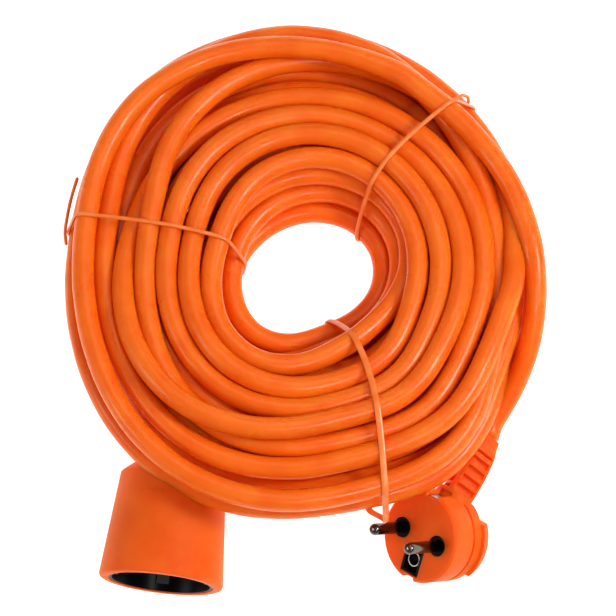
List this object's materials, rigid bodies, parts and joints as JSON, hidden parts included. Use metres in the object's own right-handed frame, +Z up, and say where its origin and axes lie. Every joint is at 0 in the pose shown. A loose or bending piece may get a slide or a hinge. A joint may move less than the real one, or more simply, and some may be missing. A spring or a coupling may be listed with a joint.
{
  "type": "extension cord",
  "caption": "Jacketed round cord wound flat under wire ties, with an angled two-pin earthed plug on one end and a tapered straight connector on the other.",
  "frame": {"origin": "middle of the footprint, on the ground", "axes": "+Z up; -Y from the middle of the coil towards the connector's mouth and the plug; +X towards the plug's side"},
  "size_m": [0.1907, 0.2217, 0.0737],
  "materials": {
    "cord_jacket": "satin PVC",
    "tie_coating": "coated wire",
    "moulding": "matte PVC moulding",
    "insert_black": "matte moulded plastic",
    "nickel": "nickel-plated brass",
    "brass": "plain brass",
    "spring_steel": "plated strip",
    "core_brown": "PVC insulation",
    "core_blue": "PVC insulation",
    "core_green": "PVC insulation"
  },
  "bodies": {
    "root": {"cord_coil": "cord_jacket", "cord_lead_plug": "cord_jacket", "cord_lead_connector": "cord_jacket", "tie_left": "tie_coating", "tie_right": "tie_coating", "tie_front": "tie_coating", "plug_body": "moulding", "plug_pin_bridge": "insert_black", "plug_pin_line": "nickel", "plug_pin_neutral": "nickel", "plug_earth_strap": "spring_steel", "plug_earth_socket": "brass", "plug_crimps": "brass", "plug_core_line": "core_brown", "plug_core_neutral": "core_blue", "plug_core_earth": "core_green", "connector_body": "moulding", "connector_insert": "insert_black", "connector_contact_cover": "insert_black", "connector_contact_line": "brass", "connector_contact_neutral": "brass", "connector_earth_strap": "spring_steel", "connector_crimps": "brass", "connector_core_line": "core_brown", "connector_core_neutral": "core_blue", "connector_core_earth": "core_green"}
  },
  "joints": []
}
